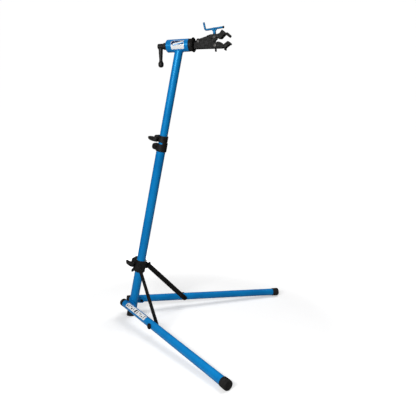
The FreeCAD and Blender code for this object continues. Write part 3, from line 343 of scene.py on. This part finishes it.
def dress_cad_nodes():
    """Gives every CAD node the material of its slot."""
    for part in frame["record"]["subparts"]:
        item = frame["nodes"][part["node"]]
        item.data.materials.clear()
        item.data.materials.append(MATERIALS[part["material_slot"]])


# ---------------------------------------------------------------- mesh building

ARC_STEPS = 5       # straight pieces in a rounded corner
LATHE_TURNS = 96    # facets round a turned part


def add_piece(name, verts, faces, material, body, smooth_angle=40):
    mesh = bpy.data.meshes.new(name)
    mesh.from_pydata([tuple(each) for each in verts], [], faces)
    return finish_piece(name, mesh, material, body, smooth_angle)


def finish_piece(name, mesh, material, body, smooth_angle):
    mesh.validate()
    mesh.materials.clear()
    mesh.materials.append(material)
    mesh.polygons.foreach_set("use_smooth", [True] * len(mesh.polygons))
    mesh.set_sharp_from_angle(angle=math.radians(smooth_angle))
    item = bpy.data.objects.new(name, mesh)
    bpy.context.scene.collection.objects.link(item)
    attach(item, body)
    return item


def skin(rings, closed=False):
    """Vertices and faces of a tube through rings of points; open ends are capped with fans."""
    count = len(rings[0])
    verts = [point for ring in rings for point in ring]
    faces = []
    pairs = list(zip(range(len(rings)), range(1, len(rings)))) + ([(len(rings) - 1, 0)] if closed else [])
    for first, second in pairs:
        for place in range(count):
            ahead = (place + 1) % count
            faces.append((first * count + place, first * count + ahead,
                          second * count + ahead, second * count + place))
    if not closed:
        for ring_index, flip in ((0, True), (len(rings) - 1, False)):
            ring = rings[ring_index]
            verts.append(sum(ring, Vector()) / count)
            centre = len(verts) - 1
            for place in range(count):
                edge = (ring_index * count + place, ring_index * count + (place + 1) % count)
                faces.append((*(reversed(edge) if flip else edge), centre))
    return verts, faces


def rounded(corners, closed=True):
    """Points of an outline; a corner (across, up, radius) becomes an arc."""
    points = []
    count = len(corners)
    for place, corner in enumerate(corners):
        here = Vector(corner[:2])
        inside = closed or 0 < place < count - 1
        if len(corner) == 2 or not inside:
            points.append(here)
            continue
        back = (Vector(corners[place - 1][:2]) - here).normalized()
        ahead = (Vector(corners[(place + 1) % count][:2]) - here).normalized()
        half = back.angle(ahead) / 2
        centre = here + (back + ahead).normalized() * (corner[2] / math.sin(half))
        reach = corner[2] / math.tan(half)
        start, end = here + back * reach, here + ahead * reach
        sweep = (start - centre).angle_signed(end - centre)
        for step in range(ARC_STEPS + 1):
            points.append(centre + Matrix.Rotation(-sweep * step / ARC_STEPS, 2) @ (start - centre))
    return points


def lathe(profile, matrix):
    """Turns a (radius, height) profile in mm about the matrix's Z axis; closed if it clears the axis."""
    solid = profile[0].x < 1e-6 and profile[-1].x < 1e-6
    outline = profile[1:-1] if solid else profile
    rings = []
    for point in outline:
        ring = []
        for turn in range(LATHE_TURNS):
            angle = 2 * math.pi * turn / LATHE_TURNS
            around = Vector((point.x * math.cos(angle), point.x * math.sin(angle), point.y))
            ring.append(matrix @ (around * MM))
        rings.append(ring)
    return skin(rings, closed=not solid)


def evaluated_mesh(item):
    depsgraph = bpy.context.evaluated_depsgraph_get()
    return bpy.data.meshes.new_from_object(item.evaluated_get(depsgraph))


WELD_GAP = 0.01 * MM


def softened_mesh(node_name, voxel, passes):
    """A copy of a CAD node's mesh with its sharp edges rounded over, as a moulding or casting has them."""
    item = bpy.data.objects.new("softening", frame["nodes"][node_name].data.copy())
    bpy.context.scene.collection.objects.link(item)
    item.modifiers.new("weld", "WELD").merge_threshold = WELD_GAP
    remesh = item.modifiers.new("remesh", "REMESH")
    remesh.mode = "VOXEL"
    remesh.voxel_size = voxel * MM
    smooth = item.modifiers.new("smooth", "SMOOTH")
    smooth.factor = 0.5
    smooth.iterations = passes
    mesh = evaluated_mesh(item)
    bpy.data.objects.remove(item)
    return mesh


def soften(node_name, piece_name, voxel, passes, sculpt):
    """Replaces a CAD node with its softened copy; sculpt(mesh) may press details into it."""
    mesh = softened_mesh(node_name, voxel, passes)
    if sculpt:
        sculpt(mesh)
    record = frame["record"]
    slot_name = next(part["material_slot"] for part in record["subparts"] if part["node"] == node_name)
    body = next(name for name, members in record["behaviour"]["bodies"].items() if node_name in members)
    item = finish_piece(piece_name, mesh, MATERIALS[slot_name], body, 70)
    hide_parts(node_name)
    return item


# ---------------------------------------------------------------- welds

BEAD_WAIST = 0.86   # a bead's radius between two ripples, as a share of its full radius
BEAD_TURNS = 12


def bead(name, path, radius, ripple, body, closed):
    """A weld bead along a path of points, swollen once every ripple."""
    rings = []
    travelled = 0.0
    for place, point in enumerate(path):
        before = path[place - 1] if closed or place else point
        after = path[(place + 1) % len(path)] if closed or place + 1 < len(path) else point
        along = (after - before).normalized()
        travelled += (point - path[place - 1]).length if place else 0.0
        swell = BEAD_WAIST + (1 - BEAD_WAIST) * abs(math.cos(math.pi * travelled / (ripple * MM)))
        matrix = facing(point, along, MAST_UP if abs(along.dot(MAST_UP)) < 0.9 else LEFT)
        ring = []
        for turn in range(BEAD_TURNS):
            angle = 2 * math.pi * turn / BEAD_TURNS
            ring.append(matrix @ (Vector((math.cos(angle), math.sin(angle), 0)) * radius * swell * MM))
        rings.append(ring)
    verts, faces = skin(rings, closed)
    item = add_piece(name, verts, faces, MATERIALS["blue_paint"], body, 60)


def head_weld():
    """Fillet weld where the upper tube meets the head tube."""
    head_radius = girth("head_tube", HEAD, FORWARD)
    tube_radius = girth("upper_tube", HEAD, MAST_UP)
    steps, stand_off = 240, 0.7 * MM
    path = []
    for step in range(steps):
        angle = 2 * math.pi * step / steps
        side = LEFT * math.sin(angle) + MAST_FORWARD * math.cos(angle)
        ring = side * tube_radius
        level = math.sqrt(head_radius ** 2 - ring.y ** 2)
        point = HEAD + ring - MAST_UP * ((level + ring.z) / MAST_UP.z)
        outward = (Vector((0, point.y, point.z - HEAD.z)).normalized() + side).normalized()
        path.append(point + outward * stand_off)
    bead("head_weld", path, 2.3, 4.2, "upper_mast", True)


def bracket_welds():
    """Beads along the bracket's top and bottom edges, round the back of the mast."""
    low, high = span("leg_bracket", Vector(), MAST_UP)
    radius = girth("lower_tube", Vector(), MAST_UP)
    splay = math.acos(max(-1.0, min(1.0, axis("left_leg_fold").dot(-LEFT))))
    half_steps, stand_off = 30, 0.9 * MM
    for level, name in ((low, "bracket_weld_low"), (high, "bracket_weld_high")):
        path = []
        for step in range(2 * half_steps + 1):
            angle = math.pi + (math.pi / 2 - splay) * (step / half_steps - 1)
            side = MAST_FORWARD * math.cos(angle) + LEFT * math.sin(angle)
            path.append(MAST_UP * level + side * (radius + stand_off))
        bead(name, path, 1.8, 3.6, "lower_mast", False)


# ---------------------------------------------------------------- labels

def wrap_label(name, middle, along, normal, radius, size, corner, material, body):
    """A thin printed sheet, wrapped on a tube, with rounded corners; its (length, height) is in mm."""
    length, height = size
    up = along.cross(normal)
    if up.z < 0:
        up = -up
    columns, rows = 80, 24
    lift, thick = 0.1, 0.15
    rings, drawn = [], []
    for column in range(columns + 1):
        x = length * (column / columns - 0.5)
        inset = max(0.0, corner - (length / 2 - abs(x)))
        half = height / 2 - (corner - math.sqrt(corner ** 2 - inset ** 2))
        ring = []
        for layer, order in ((lift + thick, range(rows + 1)), (lift, range(rows, -1, -1))):
            for row in order:
                rise = half * (2 * row / rows - 1)
                angle = rise / radius
                away = normal * math.cos(angle) + up * math.sin(angle)
                ring.append(middle + along * x * MM + away * (radius + layer) * MM)
                drawn.append((x * MM, rise * MM, 0))
        rings.append(ring)
    verts, faces = skin(rings)
    drawn += [(-length / 2 * MM, 0, 0), (length / 2 * MM, 0, 0)]
    item = add_piece(name, verts, faces, material, body, 30)
    spots = item.data.attributes.new("label", "FLOAT_VECTOR", "POINT")
    spots.data.foreach_set("vector", [part for each in drawn for part in each])


def labels():
    """A plate on the head tube and a long strip on the right leg, both printed with plain bars only."""
    low, high = span("head_tube", HEAD, FORWARD)
    head_bars = [
        (NAVY, (0, 9), (30, 9.5), 3, 0, 0), (SKY, (2, 3.6), (24, 3), 2.8, 0.3, 0.2),
        (WHITE, (0, 7.6), (23, 2.7), 2.6, 0.3, 0.2), (GREY, (0, -4.5), (22, 0.9), 0.8, 0, 0),
    ]
    ahead_of_middle = 4 * MM
    wrap_label("head_label", HEAD + FORWARD * ((low + high) / 2 + ahead_of_middle), FORWARD, -LEFT,
               girth("head_tube", HEAD, FORWARD) / MM, (63, 40), 3.5,
               label_material("head_label_print", WHITE, head_bars), "upper_mast")
    start, along = leg_line("right")
    outward = axis("right_leg_fold")
    up = outward.cross(along) if outward.cross(along).z > 0 else along.cross(outward)
    tilt, lean, from_rear = math.radians(51), 0.3, 147 * MM
    rear = span("right_leg_tube", start, along)[0]
    leg_bars = []
    for place, half_width, half_height, rise in (
            (-84, 5, 4.4, -3), (-68, 2, 8, 0), (-54, 4, 2.8, 5), (-38, 4.6, 4.4, -3), (-22, 2, 7, 0),
            (0, 5.2, 11, 0), (18, 3, 8, -1), (36, 4.4, 2.8, 4.5), (50, 2, 7.4, 0), (66, 4.4, 2.8, -5),
            (82, 2.6, 8.4, 0)):
        round_off = min(half_width, half_height) * 0.6
        leg_bars.append((INK, (place, rise), (half_width, half_height), round_off, lean, 0))
    wrap_label("leg_label", start + along * (rear + from_rear), along,
               outward * math.cos(tilt) + up * math.sin(tilt), girth("right_leg_tube", start, along) / MM,
               (192, 26.5), 3, label_material("leg_label_print", WHITE, leg_bars), "right_leg")


# ---------------------------------------------------------------- rubber parts

def rubber_piece(name, node_name, profile, matrix, body, cut_at_floor=False):
    verts, faces = lathe(profile, matrix)
    item = add_piece(name, verts, faces, MATERIALS["black_rubber"], body, 50)
    if cut_at_floor:
        stand_on_floor(item.data)
    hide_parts(node_name)


def stand_on_floor(mesh):
    """Cuts a closed mesh off at the ground and closes the cut."""
    shape = bmesh.new()
    shape.from_mesh(mesh)
    everything = shape.verts[:] + shape.edges[:] + shape.faces[:]
    bmesh.ops.bisect_plane(shape, geom=everything, plane_co=(0, 0, 0), plane_no=(0, 0, 1), clear_inner=True)
    bmesh.ops.holes_fill(shape, edges=[edge for edge in shape.edges if edge.is_boundary])
    shape.to_mesh(mesh)
    shape.free()
    mesh.set_sharp_from_angle(angle=math.radians(50))


def leg_ends():
    """Ribbed foot and round-edged rear plug, with its sleeve over the tube, on each leg."""
    slip, plug_wall, sleeve = 0.05, 1.6, 12
    for side in ("left", "right"):
        start, along = leg_line(side)
        bore = girth(f"{side}_leg_tube", start, along) / MM + slip
        opened, end = [reach / MM for reach in span(f"{side}_leg_foot", start, along)]
        outer = girth(f"{side}_leg_foot", start, along) / MM
        rubber_piece(f"{side}_foot_rubber", f"{side}_leg_foot", rounded([
            (0, end - 5.9), (bore, end - 5.9), (bore, opened), (outer - 0.7, opened, 0.6),
            (outer - 0.7, opened + 8, 0.5), (outer - 1.7, opened + 8.6, 0.3),
            (outer - 1.7, opened + 10.2, 0.3), (outer - 0.1, opened + 10.8, 0.5),
            (outer - 0.1, end - 13, 0.3), (outer - 0.9, end - 12.4, 0.2), (outer - 0.9, end - 11.4, 0.2),
            (outer, end - 10.8, 0.3), (outer, end, 5.5), (12, end, 0.5), (11.4, end - 0.8, 0.3),
            (0, end - 0.8),
        ], closed=False), facing(start, along), f"{side}_leg")
        back, inner = [reach / MM for reach in span(f"{side}_rear_plug", start, along)]
        seat = span(f"{side}_leg_tube", start, along)[0] / MM
        cap, plug, lip = girth(f"{side}_rear_plug", start, along) / MM, bore - plug_wall, seat + sleeve
        rubber_piece(f"{side}_plug_rubber", f"{side}_rear_plug", rounded([
            (0, back + 1.2), (5, back + 1.2, 0.6), (6, back, 0.8), (cap, back, 5), (cap, seat - 3, 0.3),
            (cap - 0.7, seat - 2.6, 0.2), (cap - 0.7, seat - 1.6, 0.2), (cap, seat - 1.2, 0.2),
            (cap, lip, 0.4), (bore, lip), (bore, seat), (plug, seat), (plug, inner, 1), (0, inner),
        ], closed=False), facing(start, along), f"{side}_leg")


def mast_foot():
    """Round-bottomed foot in the mast's lower end, worn flat where it stands."""
    rim = span("lower_tube", Vector(), MAST_UP)[0] / MM
    top = span("mast_foot", Vector(), MAST_UP)[1] / MM
    outer = girth("mast_foot", Vector(), MAST_UP) / MM
    plug = girth("lower_tube", Vector(), MAST_UP) / MM - 1.7
    rubber_piece("mast_foot_rubber", "mast_foot", rounded([
        (0, -12), (outer, -12, 9), (outer, rim - 10, 0.4), (outer - 0.9, rim - 9.3, 0.3),
        (outer - 0.9, rim - 8, 0.3), (outer, rim - 7.3, 0.4), (outer, rim, 2), (plug, rim), (plug, top, 2),
        (0, top),
    ], closed=False), facing(Vector(), MAST_UP), "lower_mast", True)


def grip_ribs(sign):
    """Presses grooves right across the side of a jaw cover that faces the bike tube."""
    pitch, depth, least_turn, fade = 5 * MM, 0.9 * MM, 0.25, 3

    def sculpt(mesh):
        for vertex in mesh.vertices:
            towards_tube = vertex.normal.z * sign
            if towards_tube > least_turn:
                wave = max(0.0, math.cos(2 * math.pi * vertex.co.x / pitch))
                vertex.co -= vertex.normal * depth * wave * min(1.0, (towards_tube - least_turn) * fade)
    return sculpt


# ---------------------------------------------------------------- moulded, cast and bent parts

def blade_hollow(joint):
    """Presses a leaf-shaped hollow into the outer face of a cam lever's blade, which leaves a raised rim."""
    centre = spot(joint)
    start, shoulder, tip = 12, 30, 50
    root_half, shoulder_half, tip_half = 10.6, 8.4, 3
    rim, bank, root_bank, tip_rim, tip_bank = 1.8, 1.3, 3, 4, 4
    depth, facing_out = 2.0 * MM, -0.25

    def sculpt(mesh):
        for vertex in mesh.vertices:
            away = (vertex.co - centre) / MM
            back, across = -away.dot(MAST_FORWARD), abs(away.dot(MAST_UP))
            if vertex.normal.y > facing_out or not start < back < tip:
                continue
            broad = root_half - (root_half - shoulder_half) * (back - start) / (shoulder - start)
            narrow = shoulder_half - (shoulder_half - tip_half) * (back - shoulder) / (tip - shoulder)
            half = broad if back < shoulder else narrow
            inside = min(1.0, max(0.0, (half - rim - across) / bank))
            ends = (min(1.0, max(0.0, (back - start - 1) / root_bank))
                    * min(1.0, max(0.0, (tip - tip_rim - back) / tip_bank)))
            vertex.co -= vertex.normal * depth * inside * ends
    return sculpt


def moulded_parts():
    """The moulded, cast and forged pieces, each with its voxel in mm and its smoothing passes."""
    for node_name, piece_name, voxel, passes, sculpt in (
            ("height_lever", "height_lever_blade", 0.55, 5, blade_hollow("height_lever_open")),
            ("leg_lever", "leg_lever_blade", 0.55, 5, blade_hollow("leg_lever_open")),
            ("height_collar", "height_collar_moulding", 0.75, 4, None),
            ("leg_collar", "leg_collar_moulding", 0.75, 4, None),
            ("lock_lever", "lock_lever_grip", 0.8, 10, None),
            ("lower_jaw", "lower_jaw_casting", 0.6, 2, None),
            ("upper_jaw", "upper_jaw_casting", 0.6, 2, None),
            ("clamp_flange", "clamp_flange_casting", 0.7, 2, None),
            ("crank_handle", "crank_handle_forging", 0.55, 8, None),
            ("lower_pad", "lower_pad_cover", 0.6, 4, grip_ribs(1)),
            ("upper_pad", "upper_pad_cover", 0.6, 4, grip_ribs(-1)),
    ):
        soften(node_name, piece_name, voxel, passes, sculpt)


def front_cap():
    """The front bushing, with two fine grooves round its cap."""
    inner, front = [reach / MM for reach in span("front_bushing", HEAD, FORWARD)]
    seat = span("head_tube", HEAD, FORWARD)[1] / MM
    cap = girth("front_bushing", HEAD, FORWARD) / MM
    bore = girth("clamp_spindle", HEAD, FORWARD) / MM + 0.05
    sleeve, clear, groove_floor = cap - 3.4, seat + 0.02, cap - 0.9
    corners = [(bore, inner), (sleeve, inner), (sleeve, clear), (cap, clear, 0.4)]
    for groove in (seat + 4.2, seat + 9):
        corners += [(cap, groove, 0.2), (groove_floor, groove + 0.4, 0.2), (groove_floor, groove + 1.2, 0.2),
                    (cap, groove + 1.6, 0.2)]
    corners += [(cap, front, 1.4), (bore, front)]
    verts, faces = lathe(rounded(corners), facing(HEAD, FORWARD))
    item = add_piece("front_cap", verts, faces, MATERIALS["black_plastic"], "upper_mast")
    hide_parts("front_bushing")


def clamp_screw():
    """The clamp screw with its two-start thread below the saddle, and its thrust collar above."""
    up = -axis("crank_spin")
    centre = spot("crank_spin")
    tail, top = [reach / MM for reach in span("clamp_screw", centre, up)]
    radius, collar, depth = 4.5, girth("clamp_screw", centre, up) / MM, 0.75
    pitch, starts, chamfer, rows_per_pitch, turns = 2.65, 2, 1, 10, 40
    thread_top, collar_low, collar_high, step = -8.0, 5.05, 13.9, 0.01
    matrix = facing(centre, up)
    rows = int((thread_top - tail) / pitch * rows_per_pitch)
    thread_low = tail + chamfer
    stations = [(tail, radius - 1.2), (thread_low, radius - depth)]
    stations += [(thread_low + (thread_top - thread_low) * row / rows, None) for row in range(rows + 1)]
    stations += [(thread_top + 0.6, radius), (collar_low, radius), (collar_low + step, collar),
                 (collar_high, collar), (collar_high + step, radius), (top, radius)]
    rings = []
    for height, fixed in stations:
        ring = []
        for turn in range(turns):
            share = turn / turns
            phase = (height / (pitch * starts) - share) * starts % 1.0
            flank = min(1.0, max(0.0, 2.5 - abs(phase - 0.5) * 8))
            reach = fixed if fixed is not None else radius - depth * flank
            angle = 2 * math.pi * share
            around = Vector((reach * math.cos(angle), reach * math.sin(angle), height))
            ring.append(matrix @ (around * MM))
        rings.append(ring)
    verts, faces = skin(rings)
    item = add_piece("clamp_screw_thread", verts, faces, MATERIALS["black_steel"], "screw", 35)
    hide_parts("clamp_screw")


def brace_ribs():
    """Slanted ribs pressed up inside the channels on both faces of each brace."""
    for side in ("left", "right"):
        across = axis(f"{side}_brace_swing")
        pivot = spot(f"{side}_brace_swing")
        low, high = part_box(f"{side}_brace_rivet")
        run = (low + high) / 2 - pivot
        along = (run - across * run.dot(across)).normalized()
        wide = across.cross(along)
        inner, outer = [reach / MM for reach in span(f"{side}_brace", pivot, across)]
        length = (run - across * run.dot(across)).length / MM
        first, both_ends, pitch, channel = 28, 52, 7, 1.05
        verts, faces = [], []
        for face, out in ((inner, -1), (outer, 1)):
            for step in range(int((length - both_ends) / pitch)):
                middle = first + pitch * step
                rib(verts, faces, lambda x, y, z: pivot + (along * (middle + x) + wide * y + across * (
                    face - out * (channel - z))) * MM)
        item = add_piece(f"{side}_brace_ribs", verts, faces, MATERIALS["black_metal"], f"{side}_brace", 60)


def rib(verts, faces, place):
    """One closed slanted rib, 11 mm across the channel and 0.8 mm proud of its floor."""
    half_width, slant = 5.5, 3.4
    profile = [(-1.3, 0), (-0.8, 0.6), (0, 0.8), (0.8, 0.6), (1.3, 0), (0, -0.3)]
    rings = []
    for share, size in ((-1.0, 0.3), (-0.9, 0.8), (-0.6, 1.0), (0.6, 1.0), (0.9, 0.8), (1.0, 0.3)):
        rings.append([place(x * size + slant * share, half_width * share, z * size) for x, z in profile])
    new_verts, new_faces = skin(rings)
    base = len(verts)
    verts.extend(new_verts)
    faces.extend(tuple(base + index for index in face) for face in new_faces)


# ---------------------------------------------------------------- stage

def floor():
    """A pale floor that runs back and curves up into a backdrop."""
    width, front, back, height, bend, steps = 14.0, -6.0, 7.0, 6.0, 2.5, 16
    outline = [(front, 0.0), (back - bend, 0.0)]
    for step in range(1, steps + 1):
        angle = math.pi / 2 * step / steps
        outline.append((back - bend + bend * math.sin(angle), bend * (1 - math.cos(angle))))
    outline.append((back, height))
    view = Matrix.Rotation(CAMERA_YAW, 4, "Z")
    verts, faces = [], []
    for depth, level in outline:
        for side in (-width, width):
            verts.append(view @ Vector((side, depth, level)))
    for place in range(len(outline) - 1):
        faces.append((2 * place, 2 * place + 1, 2 * place + 3, 2 * place + 2))
    mesh = bpy.data.meshes.new("floor")
    mesh.from_pydata([tuple(each) for each in verts], [], faces)
    mesh.polygons.foreach_set("use_smooth", [True] * len(mesh.polygons))
    mesh.materials.append(floor_material())
    item = bpy.data.objects.new("floor", mesh)
    bpy.context.scene.collection.objects.link(item)


def area_light(name, place, target, width, height, power):
    lamp = bpy.data.lights.new(name, "AREA")
    lamp.shape = "RECTANGLE"
    lamp.size, lamp.size_y = width, height
    lamp.energy = power
    item = bpy.data.objects.new(name, lamp)
    bpy.context.scene.collection.objects.link(item)
    item.matrix_world = facing(Vector(place), Vector(place) - Vector(target), UP)


def sun_light(name, direction, strength, softness):
    lamp = bpy.data.lights.new(name, "SUN")
    lamp.energy = strength
    lamp.angle = math.radians(softness)
    item = bpy.data.objects.new(name, lamp)
    item.visible_glossy = False
    bpy.context.scene.collection.objects.link(item)
    item.matrix_world = facing(Vector(direction), Vector(direction), LEFT)


def lights():
    """Studio: a tall key box at the camera's left, a soft sun for the floor's shadows, dim surroundings."""
    world = bpy.data.worlds.new("studio")
    bpy.context.scene.world = world
    world.use_nodes = True
    tree = world.node_tree
    tree.nodes.clear()
    seen = node(tree, "LightPath").outputs["Is Camera Ray"]
    height = node(tree, "SeparateXYZ", Vector=node(tree, "TexCoord").outputs["Generated"]).outputs[2]
    glow = ramp(tree, height, -0.1, 0.9, 0.06, 0.22)
    strength = maths(tree, "MAXIMUM", seen, glow)
    shine = node(tree, "Background", Color=(1, 1, 1, 1), Strength=strength)
    node(tree, "OutputWorld", Surface=shine.outputs[0])
    sun_light("soft_sun", (0.5, 0.9, 1.6), 1.3, 35)
    area_light("key_box", (0.1, -2.6, 1.7), HEAD * 0.6, 0.5, 1.6, 62)
    area_light("top_box", (0.4, 0.3, 3.0), (0.3, 0, 0.4), 2.6, 2.6, 2)


CAMERA_PLACE = Vector((1.1219, -2.0705, 1.0042))
CAMERA_YAW, CAMERA_PITCH = math.radians(18.40), math.radians(10.44)
CAMERA_LENS = 39.9
CAMERA_SHIFT = (-0.0008, 0.0004)


def camera():
    lens = bpy.data.cameras.new("camera")
    lens.lens = CAMERA_LENS
    lens.shift_x, lens.shift_y = CAMERA_SHIFT
    item = bpy.data.objects.new("camera", lens)
    bpy.context.scene.collection.objects.link(item)
    item.location = CAMERA_PLACE
    item.rotation_euler = (math.pi / 2 - CAMERA_PITCH, 0, CAMERA_YAW)
    bpy.context.scene.camera = item


dress_cad_nodes()
head_weld()
bracket_welds()
labels()
leg_ends()
mast_foot()
moulded_parts()
front_cap()
clamp_screw()
brace_ribs()
floor()
lights()
camera()
bpy.context.scene.view_settings.view_transform = "Standard"
